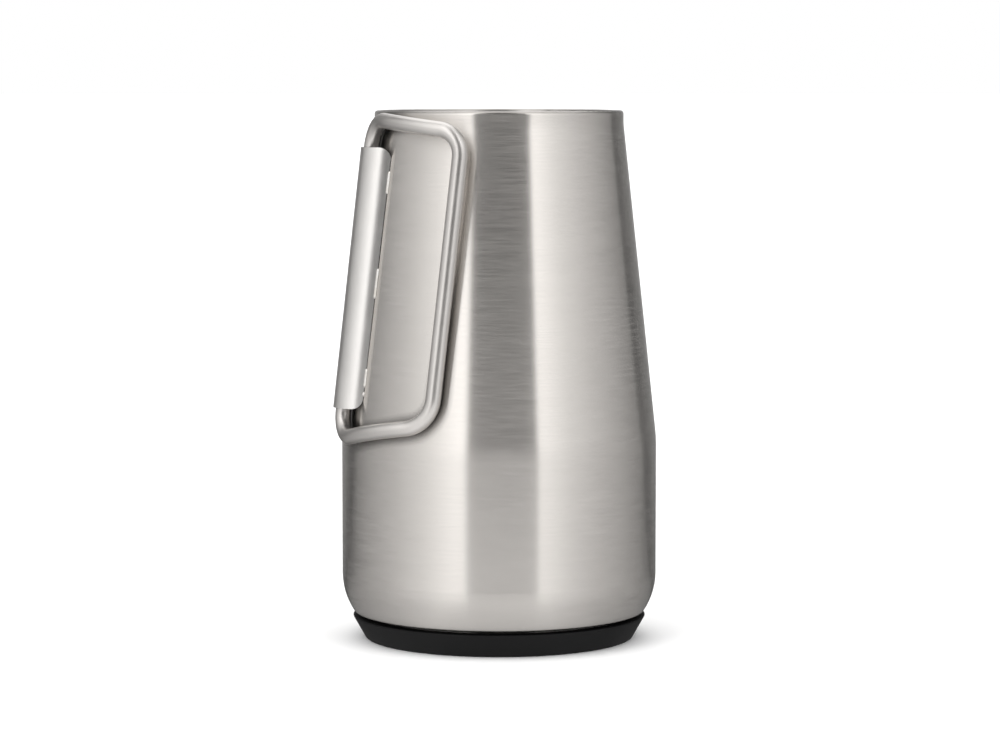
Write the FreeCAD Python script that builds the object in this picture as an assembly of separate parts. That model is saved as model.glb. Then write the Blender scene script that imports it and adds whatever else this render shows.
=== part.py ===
import FreeCAD, Part
import math
import os

from FreeCAD import Placement, Rotation, Vector

# Stainless steel urine bottle: a double-walled tapered vessel with a folding wire handle.
# Millimetres, +Z up. The origin is the centre of the boot's underside, so the vessel stands on
# Z = 0 with its axis on Z. The handle's hinge is on the -X side, and the folded handle wraps
# round the vessel towards -Y.

# Vessel, outside
BODY_RADIUS = 51.5
NECK_RADIUS = 40.55
RIM_Z = 172.65
NECK_BASE_Z = 168.3
KNEE_Z = 66.0
NECK_BEND = 25.0
KNEE_BEND = 50.0
SHELL_SHEET = 0.6

# Shoulder and foot of the outer shell
SHOULDER_VERTEX_Z = 14.7
SHOULDER_ANGLE = 33.9
SHOULDER_BEND = 22.0
LEDGE_Z = 8.7
LEDGE_BEND = 0.9
SKIRT_RADIUS = 43.2
SKIRT_BEND = 1.0
SKIRT_END_Z = 3.4

# Rolled lip, closed by a ground weld along its crest
LIP_WIDTH = 3.0
LIP_BEND = 1.15
RIM_WELD_DEPTH = 0.55

# Inner liner
LINER_SHEET = 0.5
LINER_NECK_BASE_Z = 165.5
LINER_BODY_RADIUS = 47.6
LINER_FLOOR_Z = 17.5
LINER_NECK_BEND = 10.0
LINER_KNEE_BEND = 40.0
LINER_FLOOR_BEND = 14.0

# Base cap, with the dimple and the hole that the vacuum is drawn through
CAP_SHEET = 0.6
CAP_Z = 6.6
CAP_BEND = 1.5
DIMPLE_RADIUS = 8.0
DIMPLE_FLOOR_RADIUS = 6.6
DIMPLE_HEIGHT = 1.2
DIMPLE_BEND = 0.7
EVACUATION_HOLE_RADIUS = 1.0
SEAL_RADIUS = 5.4
SEAL_DEPTH = 1.2
SEAL_EDGE = 0.5

# Getter, under the liner's floor
GETTER_OFFSET = 22.0
GETTER_RADIUS = 4.0
GETTER_HEIGHT = 2.2
HOLDER_SHEET = 0.4
HOLDER_WINDOW_RADIUS = 2.5
HOLDER_FLANGE_RADIUS = 8.0

# Boot
BOOT_TOP_RADIUS = 48.2
BOOT_TOP_Z = 7.6
BOOT_TOP_EDGE = 0.35
BOOT_BASE_RADIUS = 43.9
BOOT_BASE_EDGE = 1.0
BOOT_FLOOR = 2.4
TREAD_INNER_RADII = (9.0, 20.0, 31.0)
TREAD_WIDTH = 8.0
TREAD_DEPTH = 0.6
ADHESIVE_INNER_RADIUS = 30.0

# Hinge: the wire's axis stands off the cone and leans round it a little
WIRE_RADIUS = 2.5
WIRE_GAP = 0.35
HINGE_CENTRE_Z = 119.4
HINGE_LEAN = 1.68

# Bracket, an arched strip over the hinge wire, with level ends and edges cut to fit the cone
BRACKET_LOW_Z = 77.2
BRACKET_HIGH_Z = 161.0
BRACKET_SHEET = 0.5
BRACKET_ARCH_RADIUS = 8.9
BRACKET_ARCH_ANGLE = 80.5
BRACKET_CROWN_GAP = 0.12
BRACKET_CORNER = 4.0
SEAM_GAP = 0.1

# Stitch welds along both edges of the bracket: (middle height, length)
STITCH_WELDS = ((149.8, 7.2), (117.5, 9.6), (87.2, 6.0), (82.0, 1.4))
STITCH_LEG = 0.5
STITCH_TIP = 0.2
STITCH_TAPER = 0.5
STITCH_DOME = 0.62
STITCH_CLEARANCE = 0.004

# Handle: a closed loop of wire, bowed to lie round the vessel. Heights are along the hinge.
GRIP_DISTANCE = 42.5
GRIP_ANGLE = 21.8
BOW_ANGLE = 41.2
TOP_AT_HINGE = 50.9
TOP_AT_GRIP = 49.9
BOTTOM_AT_HINGE = -52.9
BOTTOM_AT_GRIP = -42.6
HINGE_TOP_BEND = 9.0
HINGE_BOTTOM_BEND = 7.5
GRIP_TOP_BEND = 8.0
GRIP_BOTTOM_BEND = 11.0
BUTT_WELD_LENGTH = 1.2
BOW_SHARE = 0.999

ORIGIN = Vector(0, 0, 0)
Z_AXIS = Vector(0, 0, 1)


# Outlines and solids --------------------------------------------------------------------

def straight(start, end):
    """The straight edge between two points, or none where they meet."""
    if start.isEqual(end, 1e-6):
        return []
    return [Part.LineSegment(start, end).toShape()]


def bend_reach(before, corner, after, bend):
    """How far from the corner a tangent arc of the given radius starts."""
    return bend / math.tan((before - corner).getAngle(after - corner) / 2)


def rounded_path(points, bends):
    """Edges along the points, with a tangent arc at each inner point that has a bend."""
    edges = []
    last = points[0]
    for before, corner, after, bend in zip(points, points[1:], points[2:], bends):
        if bend == 0:
            edges += straight(last, corner)
            last = corner
            continue
        back = (before - corner).normalize()
        on = (after - corner).normalize()
        reach = bend_reach(before, corner, after, bend)
        start = corner + back * reach
        middle = corner + (back + on).normalize() * (math.hypot(reach, bend) - bend)
        end = corner + on * reach
        edges += straight(last, start)
        edges.append(Part.Arc(start, middle, end).toShape())
        last = end
    return edges + straight(last, points[-1])


def in_section(corners):
    """(radius, height, bend) corners as points of the XZ plane and the inner ones' bends."""
    points = [Vector(radius, 0, height) for radius, height, _ in corners]
    bends = [bend for _, _, bend in corners[1:-1]]
    return points, bends


def left_of(points, bends, distance):
    """A path in the XZ plane moved to its left by the distance, bends and all."""
    runs = [(after - before).normalize() for before, after in zip(points, points[1:])]
    normals = [Vector(-run.z, 0, run.x) for run in runs]
    moved = [points[0] + normals[0] * distance]
    moved_bends = []
    for point, bend, before, after in zip(points[1:], bends, normals, normals[1:]):
        moved.append(point + (before + after) * (distance / (1 + before.dot(after))))
        turns_left = before.x * after.z - before.z * after.x > 0
        moved_bends.append(bend - distance if turns_left else bend + distance)
    moved.append(points[-1] + normals[-1] * distance)
    return moved, moved_bends


def turned(edges):
    """A solid of revolution about Z from the edges of a closed section."""
    section = Part.Face(Part.Wire(Part.__sortEdges__(edges)))
    return section.revolve(ORIGIN, Z_AXIS, 360)


def turned_block(corners):
    """A turned solid from the closed outline of (radius, height, bend) corners. The first and
    last corners are sharp."""
    points, bends = in_section(corners)
    return turned(rounded_path(points, bends) + straight(points[-1], points[0]))


def turned_sheet(corners, sheet):
    """A turned shell of even thickness, to the left of the path through the corners."""
    points, bends = in_section(corners)
    other_points, other_bends = left_of(points, bends, sheet)
    skins = rounded_path(points, bends) + rounded_path(other_points, other_bends)
    ends = straight(points[0], other_points[0]) + straight(points[-1], other_points[-1])
    return turned(skins + ends)


def ring(inner_radius, outer_radius, low_z, high_z):
    """A turned ring of rectangular section."""
    return turned_block([(inner_radius, low_z, 0), (outer_radius, low_z, 0),
                         (outer_radius, high_z, 0), (inner_radius, high_z, 0)])


# Vessel ---------------------------------------------------------------------------------

LIP_CENTRE_RADIUS = NECK_RADIUS - LIP_WIDTH / 2
RIM_WELD_HALF_WIDTH = LIP_WIDTH / 2 - LIP_BEND
MOUTH_RADIUS = NECK_RADIUS - LIP_WIDTH
CONE_SLOPE = (BODY_RADIUS - NECK_RADIUS) / (NECK_BASE_Z - KNEE_Z)


def outer_shell():
    """Lip, cone, lower cylinder and shoulder, then a ledge and the skirt inside the boot."""
    ledge_radius = BODY_RADIUS - math.tan(math.radians(SHOULDER_ANGLE)) * (
        SHOULDER_VERTEX_Z - LEDGE_Z)
    corners = [
        (LIP_CENTRE_RADIUS + RIM_WELD_HALF_WIDTH, RIM_Z, 0),
        (NECK_RADIUS, RIM_Z, LIP_BEND),
        (NECK_RADIUS, NECK_BASE_Z, NECK_BEND),
        (BODY_RADIUS, KNEE_Z, KNEE_BEND),
        (BODY_RADIUS, SHOULDER_VERTEX_Z, SHOULDER_BEND),
        (ledge_radius, LEDGE_Z, LEDGE_BEND),
        (SKIRT_RADIUS, LEDGE_Z, SKIRT_BEND),
        (SKIRT_RADIUS, SKIRT_END_Z, 0),
    ]
    return turned_sheet(corners, -SHELL_SHEET)


def inner_liner():
    """The vessel that holds the liquid, from the lip down to a rounded floor."""
    corners = [
        (LIP_CENTRE_RADIUS - RIM_WELD_HALF_WIDTH, RIM_Z, 0),
        (MOUTH_RADIUS, RIM_Z, LIP_BEND),
        (MOUTH_RADIUS, LINER_NECK_BASE_Z, LINER_NECK_BEND),
        (LINER_BODY_RADIUS, KNEE_Z, LINER_KNEE_BEND),
        (LINER_BODY_RADIUS, LINER_FLOOR_Z, LINER_FLOOR_BEND),
        (0, LINER_FLOOR_Z, 0),
    ]
    return turned_sheet(corners, LINER_SHEET)


def rim_weld():
    """The ground weld along the lip's crest, between the shell and the liner."""
    return ring(LIP_CENTRE_RADIUS - RIM_WELD_HALF_WIDTH, LIP_CENTRE_RADIUS + RIM_WELD_HALF_WIDTH,
                RIM_Z - RIM_WELD_DEPTH, RIM_Z)


def base_cap():
    """The flanged disc that closes the outer shell, raised round the evacuation hole."""
    flange_radius = SKIRT_RADIUS - SHELL_SHEET
    corners = [
        (flange_radius, SKIRT_END_Z, 0),
        (flange_radius, CAP_Z, CAP_BEND),
        (DIMPLE_RADIUS, CAP_Z, DIMPLE_BEND),
        (DIMPLE_FLOOR_RADIUS, CAP_Z + DIMPLE_HEIGHT, DIMPLE_BEND),
        (EVACUATION_HOLE_RADIUS, CAP_Z + DIMPLE_HEIGHT, 0),
    ]
    return turned_sheet(corners, CAP_SHEET)


def evacuation_seal():
    """The glass bead that fills the dimple from below and closes the evacuation hole."""
    top_z = CAP_Z + DIMPLE_HEIGHT - CAP_SHEET
    bottom_z = top_z - SEAL_DEPTH
    return turned_block([(0, top_z, 0), (SEAL_RADIUS, top_z, 0),
                         (SEAL_RADIUS, bottom_z, SEAL_EDGE), (0, bottom_z, 0)])


def getter_pellet():
    """The pellet that takes up stray gas, against the underside of the liner's floor."""
    floor_z = LINER_FLOOR_Z - LINER_SHEET
    place = Vector(GETTER_OFFSET, 0, floor_z - GETTER_HEIGHT)
    return Part.makeCylinder(GETTER_RADIUS, GETTER_HEIGHT, place, Z_AXIS)


def getter_holder():
    """The flanged cup, with a window, that holds the pellet to the liner's floor."""
    floor_z = LINER_FLOOR_Z - LINER_SHEET
    flange_z = floor_z - HOLDER_SHEET
    pellet_z = floor_z - GETTER_HEIGHT
    cup_z = pellet_z - HOLDER_SHEET
    cup_radius = GETTER_RADIUS + HOLDER_SHEET
    holder = turned_block([
        (GETTER_RADIUS, floor_z, 0),
        (HOLDER_FLANGE_RADIUS, floor_z, 0),
        (HOLDER_FLANGE_RADIUS, flange_z, 0),
        (cup_radius, flange_z, 0),
        (cup_radius, cup_z, 0),
        (HOLDER_WINDOW_RADIUS, cup_z, 0),
        (HOLDER_WINDOW_RADIUS, pellet_z, 0),
        (GETTER_RADIUS, pellet_z, 0),
    ])
    holder.translate(Vector(GETTER_OFFSET, 0, 0))
    return holder


# Boot -----------------------------------------------------------------------------------

def base_boot():
    """The moulded foot: a flared cup round the skirt, with ring-shaped treads below."""
    boot = turned_block([
        (0, BOOT_FLOOR, 0),
        (SKIRT_RADIUS, BOOT_FLOOR, 0),
        (SKIRT_RADIUS, BOOT_TOP_Z, 0),
        (BOOT_TOP_RADIUS, BOOT_TOP_Z, BOOT_TOP_EDGE),
        (BOOT_BASE_RADIUS, 0, BOOT_BASE_EDGE),
        (0, 0, 0),
    ])
    for inner_radius in TREAD_INNER_RADII:
        boot = boot.cut(ring(inner_radius, inner_radius + TREAD_WIDTH, -1, TREAD_DEPTH))
    return boot


def boot_adhesive():
    """The ring of adhesive that the skirt and the cap's flange stand on."""
    return ring(ADHESIVE_INNER_RADIUS, SKIRT_RADIUS, BOOT_FLOOR, SKIRT_END_Z)


# Hinge and handle -----------------------------------------------------------------------

OUTWARD = Vector(-1, 0, 0)
FOLD_WAY = Vector(0, -1, 0)
HINGE_RUN = Vector(CONE_SLOPE, -math.tan(math.radians(HINGE_LEAN)), 1)
ARCH_CROWN = WIRE_RADIUS + BRACKET_CROWN_GAP + BRACKET_SHEET


def cone_radius(height):
    """The outer shell's radius at a height on its cone."""
    return BODY_RADIUS - CONE_SLOPE * (height - KNEE_Z)


def hinge_point(height):
    """The point of the hinge's axis at a height."""
    middle_x = -(cone_radius(HINGE_CENTRE_Z) + WIRE_GAP + WIRE_RADIUS)
    return Vector(middle_x, 0, HINGE_CENTRE_Z) + HINGE_RUN * (height - HINGE_CENTRE_Z)


def hinge_placement():
    """The hinge's own frame: Z up the wire's axis, X out of the vessel, Y towards the fold."""
    return Placement(hinge_point(HINGE_CENTRE_Z), Rotation(OUTWARD, Vector(), HINGE_RUN, "ZXY"))


def arch_centre(height):
    """The centre of the bracket's arch in the level section at a height."""
    return hinge_point(height) + OUTWARD * (ARCH_CROWN - BRACKET_ARCH_RADIUS)


def hinge_bracket():
    """The arched strip, open towards the vessel, with its four corners rounded."""
    centre = arch_centre(BRACKET_LOW_Z)
    height = BRACKET_HIGH_Z - BRACKET_LOW_Z

    def arch_point(radius, angle):
        out = OUTWARD * math.cos(math.radians(angle))
        return centre + (out + FOLD_WAY * math.sin(math.radians(angle))) * radius

    def arch(radius):
        return Part.Arc(arch_point(radius, -BRACKET_ARCH_ANGLE), arch_point(radius, 0),
                        arch_point(radius, BRACKET_ARCH_ANGLE)).toShape()

    inner_radius = BRACKET_ARCH_RADIUS - BRACKET_SHEET
    edges = [arch(BRACKET_ARCH_RADIUS), arch(inner_radius)]
    for angle in (-BRACKET_ARCH_ANGLE, BRACKET_ARCH_ANGLE):
        edges += straight(arch_point(inner_radius, angle), arch_point(BRACKET_ARCH_RADIUS, angle))
    section = Part.Face(Part.Wire(Part.__sortEdges__(edges)))
    cone = Part.makeCone(cone_radius(KNEE_Z) + SEAM_GAP, cone_radius(NECK_BASE_Z) + SEAM_GAP,
                         NECK_BASE_Z - KNEE_Z, Vector(0, 0, KNEE_Z))
    bracket = section.extrude(HINGE_RUN * height).cut(cone)
    for side in (-1, 1):
        bracket = bracket.cut(corner_waste(side, BRACKET_LOW_Z, 1))
        bracket = bracket.cut(corner_waste(side, BRACKET_HIGH_Z, -1))
    return largest_solid(bracket)


def seam_point(side, height):
    """Where the arch's outside meets the cone at a height, on the fold's side (1) or not (-1)."""
    centre = arch_centre(height)
    wall = cone_radius(height)
    distance = math.hypot(centre.x, centre.y)
    along = (wall ** 2 - BRACKET_ARCH_RADIUS ** 2 + distance ** 2) / (2 * distance)
    across = math.sqrt(wall ** 2 - along ** 2)
    out = Vector(centre.x, centre.y, 0) / distance
    return out * along + Z_AXIS.cross(out) * side * across + Z_AXIS * height


def corner_waste(side, height, inward):
    """What the rounding takes off the bracket's corner at one end of an edge. The rest of the
    edge is above that end (1) or below it (-1)."""
    corner = seam_point(side, height)
    out = (corner - arch_centre(height)).normalize()
    along = Vector(HINGE_RUN).normalize() * inward
    over = out.cross(Z_AXIS) * side
    reach = bend_reach(corner + along, corner, corner + over, BRACKET_CORNER)
    start = corner + along * reach
    end = corner + over * reach
    clear = BRACKET_CORNER / 2
    outside = [end, end - along * clear, corner - (along + over) * clear, start - over * clear, start]
    outline = rounded_path([start, corner, end], [BRACKET_CORNER])
    for before, after in zip(outside, outside[1:]):
        outline += straight(before, after)
    face = Part.Face(Part.Wire(Part.__sortEdges__(outline)))
    face.translate(out * -BRACKET_CORNER)
    return face.extrude(out * 2 * BRACKET_CORNER)


def stitch_section(side, height, leg):
    """A weld's level section: a leg along the bracket, one along the shell and a domed face."""
    corner = seam_point(side, height)
    off_bracket = (corner - arch_centre(height)).normalize()
    off_shell = Vector(corner.x, corner.y, 0).normalize()
    up_bracket = off_bracket.cross(Z_AXIS) * side
    along_shell = Z_AXIS.cross(off_shell) * side
    corner += (off_bracket + off_shell) * STITCH_CLEARANCE
    on_bracket = corner + up_bracket * leg
    on_shell = corner + along_shell * leg
    crest = corner + (up_bracket + along_shell) * leg * STITCH_DOME
    return Part.Wire([
        Part.LineSegment(corner, on_bracket).toShape(),
        Part.Arc(on_bracket, crest, on_shell).toShape(),
        Part.LineSegment(on_shell, corner).toShape(),
    ])


def bracket_welds():
    """The stitch welds outside the seams between the bracket's two edges and the shell."""
    beads = []
    for side in (-1, 1):
        for middle, length in STITCH_WELDS:
            low = middle - length / 2
            high = middle + length / 2
            heights = (low, low + STITCH_TAPER, high - STITCH_TAPER, high)
            legs = (STITCH_TIP, STITCH_LEG, STITCH_LEG, STITCH_TIP)
            sections = [stitch_section(side, *place) for place in zip(heights, legs)]
            beads.append(Part.makeLoft(sections, True, True))
    return Part.makeCompound(beads)


def largest_solid(shape):
    return max(shape.Solids, key=lambda solid: solid.Volume)


def handle_points():
    """Corners of the handle's centre line in the hinge's frame, from the butt weld up, round
    the loop and back up to the weld."""
    grip_angle = math.radians(GRIP_ANGLE)
    half_bow = math.radians(BOW_ANGLE / 2)
    bow_distance = GRIP_DISTANCE / 2 / math.cos(half_bow)

    def at(distance, angle, height):
        return Vector(-distance * math.sin(angle), distance * math.cos(angle), height)

    return [
        Vector(0, 0, BUTT_WELD_LENGTH / 2),
        Vector(0, 0, TOP_AT_HINGE),
        at(bow_distance, grip_angle - half_bow, (TOP_AT_HINGE + TOP_AT_GRIP) / 2),
        at(GRIP_DISTANCE, grip_angle, TOP_AT_GRIP),
        at(GRIP_DISTANCE, grip_angle, BOTTOM_AT_GRIP),
        at(bow_distance, grip_angle - half_bow, (BOTTOM_AT_HINGE + BOTTOM_AT_GRIP) / 2),
        Vector(0, 0, BOTTOM_AT_HINGE),
        Vector(0, 0, -BUTT_WELD_LENGTH / 2),
    ]


def widest_bow(points, index, bend_before, bend_after):
    """The largest bend at a point that leaves room for the bends beside it."""
    before, corner, after = points[index - 1:index + 2]
    room_before = corner.distanceToPoint(before) - bend_reach(
        points[index - 2], before, corner, bend_before)
    room_after = corner.distanceToPoint(after) - bend_reach(
        corner, after, points[index + 2], bend_after)
    half_angle = (before - corner).getAngle(after - corner) / 2
    return BOW_SHARE * min(room_before, room_after) * math.tan(half_angle)


def handle_loop():
    """The bent wire, open by the length of its butt weld in the middle of the hinge."""
    points = handle_points()
    bends = [
        HINGE_TOP_BEND,
        widest_bow(points, 2, HINGE_TOP_BEND, GRIP_TOP_BEND),
        GRIP_TOP_BEND,
        GRIP_BOTTOM_BEND,
        widest_bow(points, 5, GRIP_BOTTOM_BEND, HINGE_BOTTOM_BEND),
        HINGE_BOTTOM_BEND,
    ]
    path = Part.Wire(rounded_path(points, bends))
    section = Part.Wire(Part.makeCircle(WIRE_RADIUS, points[0], Z_AXIS))
    loop = path.makePipeShell([section], True, False)
    loop.Placement = hinge_placement()
    return loop


def handle_weld():
    """The ground butt weld that closes the loop, inside the bracket."""
    low = Vector(0, 0, -BUTT_WELD_LENGTH / 2)
    weld = Part.makeCylinder(WIRE_RADIUS, BUTT_WELD_LENGTH, low, Z_AXIS)
    weld.Placement = hinge_placement()
    return weld


# All parts ------------------------------------------------------------------------------

def make_parts():
    return {
        "outer_shell": outer_shell(),
        "inner_liner": inner_liner(),
        "rim_weld": rim_weld(),
        "base_cap": base_cap(),
        "evacuation_seal": evacuation_seal(),
        "getter_pellet": getter_pellet(),
        "getter_holder": getter_holder(),
        "base_boot": base_boot(),
        "boot_adhesive": boot_adhesive(),
        "hinge_bracket": hinge_bracket(),
        "bracket_welds": bracket_welds(),
        "handle_loop": handle_loop(),
        "handle_weld": handle_weld(),
    }


os.makedirs("parts", exist_ok=True)
for node, shape in make_parts().items():
    shape.exportStep("parts/" + node + ".step")
    print(node, "valid", shape.isValid(), "solids", len(shape.Solids),
          "volume %.1f" % shape.Volume)
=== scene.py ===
import math

import bpy
from mathutils import Euler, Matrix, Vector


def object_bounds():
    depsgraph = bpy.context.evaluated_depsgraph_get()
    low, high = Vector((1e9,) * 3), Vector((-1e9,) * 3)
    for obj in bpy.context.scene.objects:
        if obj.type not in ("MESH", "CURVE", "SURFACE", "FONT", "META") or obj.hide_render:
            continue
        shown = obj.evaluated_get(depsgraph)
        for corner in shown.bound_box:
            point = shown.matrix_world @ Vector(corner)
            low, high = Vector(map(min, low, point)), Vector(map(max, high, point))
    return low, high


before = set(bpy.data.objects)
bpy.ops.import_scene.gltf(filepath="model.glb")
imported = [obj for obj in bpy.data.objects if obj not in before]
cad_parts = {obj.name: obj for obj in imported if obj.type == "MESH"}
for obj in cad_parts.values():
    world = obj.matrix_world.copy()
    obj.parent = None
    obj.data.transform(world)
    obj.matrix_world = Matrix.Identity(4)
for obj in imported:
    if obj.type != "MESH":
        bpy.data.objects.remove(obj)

cad_low, cad_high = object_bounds()

# The camera stands this far round from the folded handle's side (-Y) towards the hinge.
CAMERA_ROUND = math.radians(20.7)
CAMERA_DISTANCE = 1.1181
CAMERA_HEIGHT = 0.1843
CAMERA_DOWN = math.radians(5.02)
CAMERA_LENS = 123.3
CAMERA_SHIFT = 0.0009

# Brightness of the studio's walls, by degrees round from the camera: left is negative.
WALLS = (
    (-180, 1.00), (-170, 0.36), (-158, 0.24), (-148, 0.20), (-139, 0.12), (-134, 0.08),
    (-129, 0.12), (-124, 0.24), (-114, 0.36), (-98, 0.52), (-77, 0.71), (-53, 1.03),
    (-31, 1.45), (-25, 1.45), (-22, 0.12), (27.5, 0.12), (28.7, 1.31), (34, 1.25),
    (53, 0.91), (77, 0.66), (99, 0.48), (118, 0.32), (125, 0.28), (127.5, 0.115),
    (135, 0.12), (142, 0.165), (158, 0.215), (170, 0.36), (180, 1.00),
)
# The walls brighten upwards, to this many times as bright in directions that rise this much.
WALL_GAIN = 1.5
WALL_RISE = 0.6
# A lamp overhead and behind, by its direction and the cosines of its edge.
TOP_LIGHT = 1.55
TOP_LIGHT_BACK = math.radians(28)
TOP_LIGHT_EDGE = (0.85, 0.95)
# A wide even light from above: its width, its strength and its lean.
SUN_WIDTH = math.radians(100)
SUN_STRENGTH = 2.0
SUN_LEAN = (math.radians(8), math.radians(-6), 0)

# The floor is a wide white disc.
FLOOR_RADIUS = 30.0
FLOOR_CORNERS = 96
FLOOR_WHITE = 0.9
# The floor in reflections is a painted glow: its brightness in front of the vessel, between these
# degrees round from the camera; how bright it is elsewhere beside the walls; and the distances
# over which it gives way to the walls.
FLOOR_FRONT = 1.1
FLOOR_FRONT_ARC = (-23, 28)
FLOOR_SIDE = 0.79
FLOOR_END = (0.30, 0.60)
# The floor's shade beside the foot, in reflections, and the distances over which it clears.
FOOT_SHADE = 0.6
FOOT_SHADE_END = (0.04, 0.14)

# Painted shade over the crest of the lip, which dims the lamp's reflection there: from and to
# these depths below the top, and how much.
LIP_SHADE_SPAN = (0.00095, 0.00055)
LIP_SHADE_TONE = 0.7
# Brushing marks: noise cells per metre along the fine lines and along the broad bands, and how
# many lines a band is wide.
LINE_CELLS = 110
BAND_CELLS = 14
BAND_LINES = 14
# How deep brushed and drawn lines are.
LINE_DEPTH = 0.00001


# Node helpers ---------------------------------------------------------------------------

def new_tree(owner):
    """An empty node tree on a material or a world."""
    owner.use_nodes = True
    owner.node_tree.nodes.clear()
    return owner.node_tree


def add(tree, kind, **settings):
    """A node with its properties and unlinked inputs set by name."""
    made = tree.nodes.new(kind)
    for name, value in settings.items():
        if hasattr(made, name):
            setattr(made, name, value)
        else:
            made.inputs[name.replace("_", " ")].default_value = value
    return made


def link(tree, output, target):
    tree.links.new(output, target)


def feed(tree, source, target):
    """A colour input's source: an output, a plain colour or a plain brightness."""
    if isinstance(source, bpy.types.NodeSocket):
        link(tree, source, target)
    elif isinstance(source, tuple):
        target.default_value = (*source, 1)
    else:
        target.default_value = (source, source, source, 1)


def mixed(tree, factor, first, second):
    """A blend of two colours, by a factor."""
    blend = add(tree, "ShaderNodeMix", data_type="RGBA")
    link(tree, factor, blend.inputs["Factor"])
    feed(tree, first, blend.inputs["A"])
    feed(tree, second, blend.inputs["B"])
    return blend.outputs["Result"]


def multiplied(tree, first, second):
    """The product of two colours."""
    product = add(tree, "ShaderNodeMix", data_type="RGBA", blend_type="MULTIPLY")
    product.inputs["Factor"].default_value = 1
    feed(tree, first, product.inputs["A"])
    feed(tree, second, product.inputs["B"])
    return product.outputs["Result"]


def smooth_step(tree, value, start, end):
    """0 up to a start value, 1 from an end value, and smooth between."""
    step = add(tree, "ShaderNodeMapRange", interpolation_type="SMOOTHSTEP",
               From_Min=start, From_Max=end)
    link(tree, value, step.inputs["Value"])
    return step.outputs["Result"]


def ranged(tree, value, low, high, start=0.3, end=0.7):
    """A value from start to end, where most noise lies, spread evenly from low to high."""
    spread = add(tree, "ShaderNodeMapRange", From_Min=start, From_Max=end, To_Min=low, To_Max=high)
    link(tree, value, spread.inputs["Value"])
    return spread.outputs["Result"]


def height(tree, vector):
    """The upward part of a place or direction."""
    split = add(tree, "ShaderNodeSeparateXYZ")
    link(tree, vector, split.inputs["Vector"])
    return split.outputs["Z"]


def place_on_piece(tree):
    """The place in the row frame, in metres."""
    return add(tree, "ShaderNodeTexCoord").outputs["Object"]


def by_ray(tree, kind, usual, special):
    """One shader for most rays, and another for one kind of ray."""
    ray = add(tree, "ShaderNodeLightPath")
    mix = add(tree, "ShaderNodeMixShader")
    link(tree, ray.outputs[kind], mix.inputs["Fac"])
    link(tree, usual, mix.inputs[1])
    link(tree, special, mix.inputs[2])
    return mix.outputs["Shader"]


# Studio ---------------------------------------------------------------------------------

def azimuth_ramp(tree, direction, brightnesses):
    """A ramp of brightness by how far round a direction is from the camera's."""
    turn = add(tree, "ShaderNodeMapping", Rotation=(0, 0, math.pi / 2 + CAMERA_ROUND))
    sweep = add(tree, "ShaderNodeTexGradient", gradient_type="RADIAL")
    ramp = add(tree, "ShaderNodeValToRGB")
    link(tree, direction, turn.inputs["Vector"])
    link(tree, turn.outputs["Vector"], sweep.inputs["Vector"])
    link(tree, sweep.outputs["Fac"], ramp.inputs["Fac"])
    stops = ramp.color_ramp.elements
    ready_made = len(stops)
    for index, (azimuth, brightness) in enumerate(brightnesses):
        place = 0.5 + azimuth / 360
        stop = stops[index] if index < ready_made else stops.new(place)
        stop.position = place
        stop.color = (brightness, brightness, brightness, 1)
    return ramp.outputs["Color"]


def floor_brightnesses():
    """The floor's brightness round from the camera: even in front, and by the walls elsewhere."""
    left, right = FLOOR_FRONT_ARC
    return [(azimuth, FLOOR_FRONT if left < azimuth < right else brightness * FLOOR_SIDE)
            for azimuth, brightness in WALLS]


def studio_world():
    """Plain white to the eye; in light and reflections, walls and a lamp overhead."""
    world = bpy.data.worlds.new("studio")
    bpy.context.scene.world = world
    tree = new_tree(world)
    direction = add(tree, "ShaderNodeTexCoord").outputs["Generated"]
    walls = azimuth_ramp(tree, direction, WALLS)
    rise = smooth_step(tree, height(tree, direction), 0, WALL_RISE)
    walls = multiplied(tree, walls, mixed(tree, rise, 1.0, WALL_GAIN))
    facing = add(tree, "ShaderNodeVectorMath", operation="DOT_PRODUCT")
    link(tree, direction, facing.inputs[0])
    flat = math.sin(TOP_LIGHT_BACK)
    facing.inputs[1].default_value = (flat * math.sin(CAMERA_ROUND),
                                      flat * math.cos(CAMERA_ROUND), math.cos(TOP_LIGHT_BACK))
    lamp = smooth_step(tree, facing.outputs["Value"], *TOP_LIGHT_EDGE)
    lit = add(tree, "ShaderNodeBackground", Strength=1.0)
    link(tree, mixed(tree, lamp, walls, TOP_LIGHT), lit.inputs["Color"])
    seen = add(tree, "ShaderNodeBackground", Strength=1.0, Color=(1, 1, 1, 1))
    output = add(tree, "ShaderNodeOutputWorld")
    link(tree, by_ray(tree, "Is Camera Ray", lit.outputs["Background"], seen.outputs["Background"]),
         output.inputs["Surface"])


def floor_material():
    """Plain white to the eye; in reflections a painted glow that darkens round the back, as the
    walls do, with painted shade beside the foot.
    """
    material = bpy.data.materials.new("floor")
    tree = new_tree(material)
    place = place_on_piece(tree)
    distance = add(tree, "ShaderNodeVectorMath", operation="LENGTH")
    link(tree, place, distance.inputs[0])
    near = azimuth_ramp(tree, place, floor_brightnesses())
    far = azimuth_ramp(tree, place, WALLS)
    spread = mixed(tree, smooth_step(tree, distance.outputs["Value"], *FLOOR_END), near, far)
    lightness = smooth_step(tree, distance.outputs["Value"], *FOOT_SHADE_END)
    colour = multiplied(tree, mixed(tree, lightness, FOOT_SHADE, 1.0), spread)
    white = add(tree, "ShaderNodeBsdfDiffuse", Color=(FLOOR_WHITE, FLOOR_WHITE, FLOOR_WHITE, 1))
    # Painted glow, seen only in reflections, with painted shade beside the foot.
    painted_floor_glow = add(tree, "ShaderNodeEmission", Strength=1.0)
    link(tree, colour, painted_floor_glow.inputs["Color"])
    output = add(tree, "ShaderNodeOutputMaterial")
    link(tree, by_ray(tree, "Is Glossy Ray", white.outputs["BSDF"], painted_floor_glow.outputs["Emission"]),
         output.inputs["Surface"])
    return material


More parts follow.
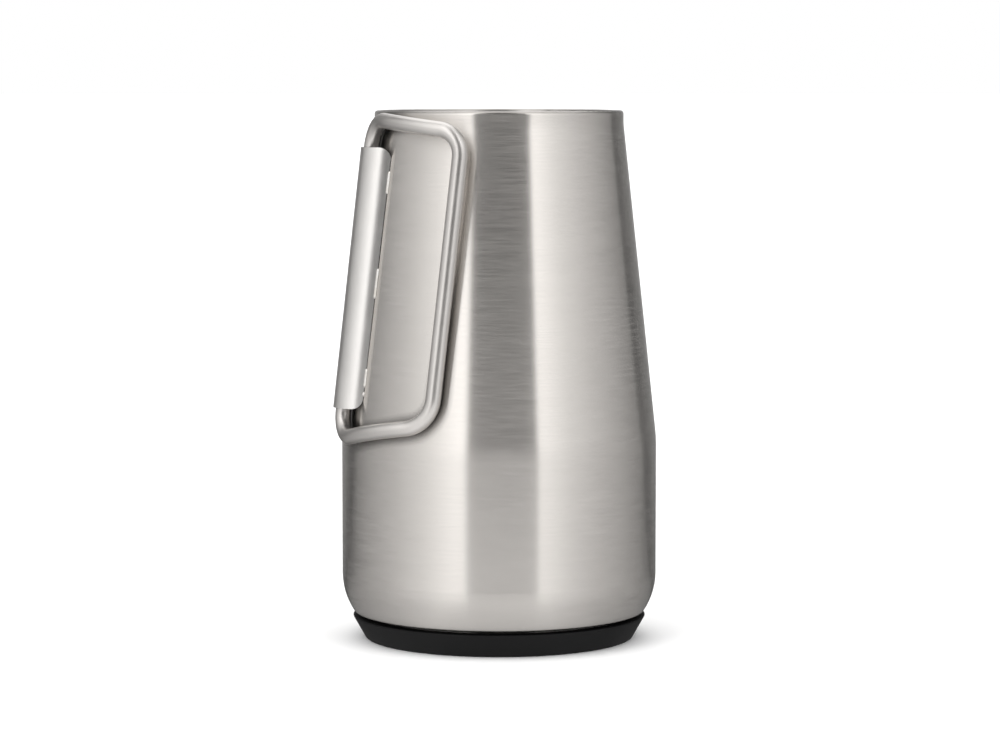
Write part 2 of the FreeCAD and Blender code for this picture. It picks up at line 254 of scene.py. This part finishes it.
def studio_floor():
    bpy.ops.mesh.primitive_circle_add(vertices=FLOOR_CORNERS, radius=FLOOR_RADIUS,
                                      fill_type="NGON", location=(0, 0, 0))
    floor = bpy.context.object
    floor.name = "floor"
    floor.data.materials.append(floor_material())


def soft_sun():
    """It whitens the floor and shades the foot, and isn't seen in reflections."""
    light = bpy.data.lights.new("sun", "SUN")
    light.angle = SUN_WIDTH
    light.energy = SUN_STRENGTH
    lamp = bpy.data.objects.new("sun", light)
    bpy.context.scene.collection.objects.link(lamp)
    lamp.rotation_euler = Euler(SUN_LEAN)
    lamp.visible_glossy = False


def camera():
    view = bpy.data.cameras.new("camera")
    view.lens = CAMERA_LENS
    view.shift_x = CAMERA_SHIFT
    seat = bpy.data.objects.new("camera", view)
    bpy.context.scene.collection.objects.link(seat)
    seat.location = (-CAMERA_DISTANCE * math.sin(CAMERA_ROUND),
                     -CAMERA_DISTANCE * math.cos(CAMERA_ROUND), CAMERA_HEIGHT)
    seat.rotation_euler = Euler((math.pi / 2 - CAMERA_DOWN, 0, -CAMERA_ROUND))
    bpy.context.scene.camera = seat


# Materials ------------------------------------------------------------------------------

def principled(name, **settings):
    """A material with its tree and principled shader."""
    material = bpy.data.materials.new(name)
    tree = new_tree(material)
    shader = add(tree, "ShaderNodeBsdfPrincipled", **settings)
    output = add(tree, "ShaderNodeOutputMaterial")
    link(tree, shader.outputs["BSDF"], output.inputs["Surface"])
    return material, tree, shader


def noise_field(tree, scale, detail, stretch=(1, 1, 1)):
    """Noise over the row frame, with more cells along an axis where its stretch is more."""
    turn = add(tree, "ShaderNodeMapping", Scale=stretch)
    link(tree, place_on_piece(tree), turn.inputs["Vector"])
    field = add(tree, "ShaderNodeTexNoise", Scale=scale, Detail=detail)
    link(tree, turn.outputs["Vector"], field.inputs["Vector"])
    return field.outputs["Fac"]


def bumped(tree, shader, relief, strength, depth):
    """A fine relief on a shader."""
    bump = add(tree, "ShaderNodeBump", Strength=strength, Distance=depth)
    link(tree, relief, bump.inputs["Height"])
    link(tree, bump.outputs["Normal"], shader.inputs["Normal"])


def painted_gap_shade(tree, reach, darkest, closed=0.6, clear=0.95):
    """Painted shade: a brightness that falls in the narrow gaps beside other pieces, where shade
    and dark reflections fall.
    """
    near = add(tree, "ShaderNodeAmbientOcclusion", samples=8, Distance=reach)
    return ranged(tree, near.outputs["AO"], darkest, 1.0, closed, clear)


def painted_lip_shade(tree):
    """Painted shade: a brightness that falls over the crest of the lip, dimming the lamp's
    reflection there.
    """
    start, end = (cad_high[2] - depth for depth in LIP_SHADE_SPAN)
    return ranged(tree, height(tree, place_on_piece(tree)), 1.0, LIP_SHADE_TONE, start, end)


def brushed_round(name, colour, roughness, grain):
    """Steel brushed round the vessel's axis: reflections spread up and down, not sideways."""
    material, tree, shader = principled(name, Anisotropic=1.0, Anisotropic_Rotation=0.25)
    lines = noise_field(tree, scale=1, detail=1, stretch=(LINE_CELLS, LINE_CELLS, grain))
    bands = noise_field(tree, scale=1, detail=4,
                        stretch=(BAND_CELLS, BAND_CELLS, grain / BAND_LINES))
    tone = multiplied(tree, colour, ranged(tree, bands, 0.985, 1.01))
    tone = multiplied(tree, tone, ranged(tree, lines, 0.99, 1.005))
    # Painted shade over the lip's crest, dimming the lamp's reflection.
    tone = multiplied(tree, tone, painted_lip_shade(tree))
    # Painted shade darkens the colour in the gaps beside other pieces.
    tone = multiplied(tree, tone, painted_gap_shade(tree, reach=0.004, darkest=0.4))
    link(tree, tone, shader.inputs["Base Color"])
    link(tree, ranged(tree, lines, 0.99, 0.89), shader.inputs["Metallic"])
    link(tree, ranged(tree, bands, roughness * 0.97, roughness * 1.03), shader.inputs["Roughness"])
    tangent = add(tree, "ShaderNodeTangent", direction_type="RADIAL", axis="Z")
    link(tree, tangent.outputs["Tangent"], shader.inputs["Tangent"])
    bumped(tree, shader, lines, strength=0.08, depth=LINE_DEPTH)
    return material


def satin_steel(name, colour, roughness, grain, stretch=(1, 1, 1)):
    """Steel with a soft even sheen and faint drawn or brushed lines."""
    material, tree, shader = principled(name, Metallic=0.92)
    lines = noise_field(tree, scale=grain, detail=3, stretch=stretch)
    smears = noise_field(tree, scale=120, detail=4)
    tone = multiplied(tree, colour, ranged(tree, lines, 0.985, 1.01))
    tone = multiplied(tree, tone, ranged(tree, smears, 0.97, 1.02))
    # Painted shade darkens the colour in the gaps beside other pieces.
    tone = multiplied(tree, tone, painted_gap_shade(tree, reach=0.002, darkest=0.4, closed=0.4, clear=0.72))
    link(tree, tone, shader.inputs["Base Color"])
    link(tree, ranged(tree, smears, roughness * 0.98, roughness * 1.1), shader.inputs["Roughness"])
    bumped(tree, shader, lines, strength=0.04, depth=LINE_DEPTH)
    return material


def welded_steel():
    """Weld metal left as it set: ripples across the bead, and a faint straw heat tint."""
    material, tree, shader = principled("weld_bead", Metallic=1)
    ripples = add(tree, "ShaderNodeTexWave", bands_direction="Z", Scale=220, Distortion=1.5,
                  Detail=2, Detail_Scale=2)
    link(tree, place_on_piece(tree), ripples.inputs["Vector"])
    tint = noise_field(tree, scale=400, detail=3)
    warm = mixed(tree, ranged(tree, tint, 0, 1), (0.78, 0.76, 0.74), (0.72, 0.68, 0.62))
    link(tree, warm, shader.inputs["Base Color"])
    link(tree, ranged(tree, tint, 0.28, 0.42), shader.inputs["Roughness"])
    bumped(tree, shader, ripples.outputs["Fac"], strength=0.5, depth=0.00008)
    return material


def soft_matte(name, colour, roughness, specular, grain, depth):
    """A dull solid such as rubber or cured adhesive, with a moulded or cast grain."""
    material, tree, shader = principled(name, Specular_IOR_Level=specular)
    patches = noise_field(tree, scale=60, detail=4)
    tone = multiplied(tree, colour, ranged(tree, patches, 0.85, 1.2))
    link(tree, tone, shader.inputs["Base Color"])
    link(tree, ranged(tree, patches, roughness * 0.9, roughness * 1.1), shader.inputs["Roughness"])
    bumped(tree, shader, noise_field(tree, scale=grain, detail=3), strength=0.4, depth=depth)
    return material


def seal_glass():
    """Fused brown glass with small bubbles under a glossy skin."""
    material, tree, shader = principled("seal_glass", Coat_Weight=0.5)
    bubbles = add(tree, "ShaderNodeTexVoronoi", Scale=1800)
    link(tree, place_on_piece(tree), bubbles.inputs["Vector"])
    body = mixed(tree, bubbles.outputs["Distance"], (0.42, 0.33, 0.20), (0.20, 0.14, 0.08))
    link(tree, body, shader.inputs["Base Color"])
    gloss = noise_field(tree, scale=500, detail=3)
    link(tree, ranged(tree, gloss, 0.08, 0.2), shader.inputs["Roughness"])
    bumped(tree, shader, noise_field(tree, scale=900, detail=2), strength=0.3, depth=0.00004)
    return material


def pressed_powder():
    """The getter's pressed metal powder, dark and crumbly."""
    material, tree, shader = principled("getter_metal", Metallic=0.6)
    grains = noise_field(tree, scale=6000, detail=4)
    tone = multiplied(tree, (0.16, 0.155, 0.15), ranged(tree, grains, 0.7, 1.3))
    link(tree, tone, shader.inputs["Base Color"])
    link(tree, ranged(tree, grains, 0.7, 0.9), shader.inputs["Roughness"])
    bumped(tree, shader, grains, strength=0.6, depth=0.00006)
    return material


def finish_nodes():
    """Better materials for the CAD nodes that stay."""
    steel = (0.675, 0.645, 0.613)
    wire = satin_steel("wire_steel", (0.65, 0.625, 0.60), 0.31, grain=3000, stretch=(1, 1, 0.1))
    materials = {
        "outer_shell": brushed_round("shell_steel", steel, 0.25, grain=3400),
        "inner_liner": brushed_round("liner_steel", steel, 0.32, grain=2200),
        "rim_weld": brushed_round("lip_weld", steel, 0.30, grain=2800),
        "base_cap": brushed_round("cap_steel", (0.64, 0.62, 0.60), 0.35, grain=2000),
        "getter_holder": satin_steel("holder_steel", (0.66, 0.64, 0.62), 0.3, grain=2000),
        "hinge_bracket": satin_steel("bracket_steel", (0.80, 0.78, 0.755), 0.29,
                                     grain=1500, stretch=(1, 1, 0.05)),
        "bracket_welds": welded_steel(),
        "handle_loop": wire,
        "handle_weld": wire,
        "base_boot": soft_matte("boot_rubber", (0.0055, 0.0055, 0.0058), 0.6,
                                specular=0.18, grain=2500, depth=0.00004),
        "boot_adhesive": soft_matte("adhesive", (0.27, 0.27, 0.26), 0.7,
                                    specular=0.3, grain=900, depth=0.00006),
        "evacuation_seal": seal_glass(),
        "getter_pellet": pressed_powder(),
    }
    for name, material in materials.items():
        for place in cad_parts[name].material_slots:
            place.material = material


camera()
studio_world()
studio_floor()
soft_sun()
finish_nodes()
bpy.context.scene.view_settings.view_transform = "Standard"
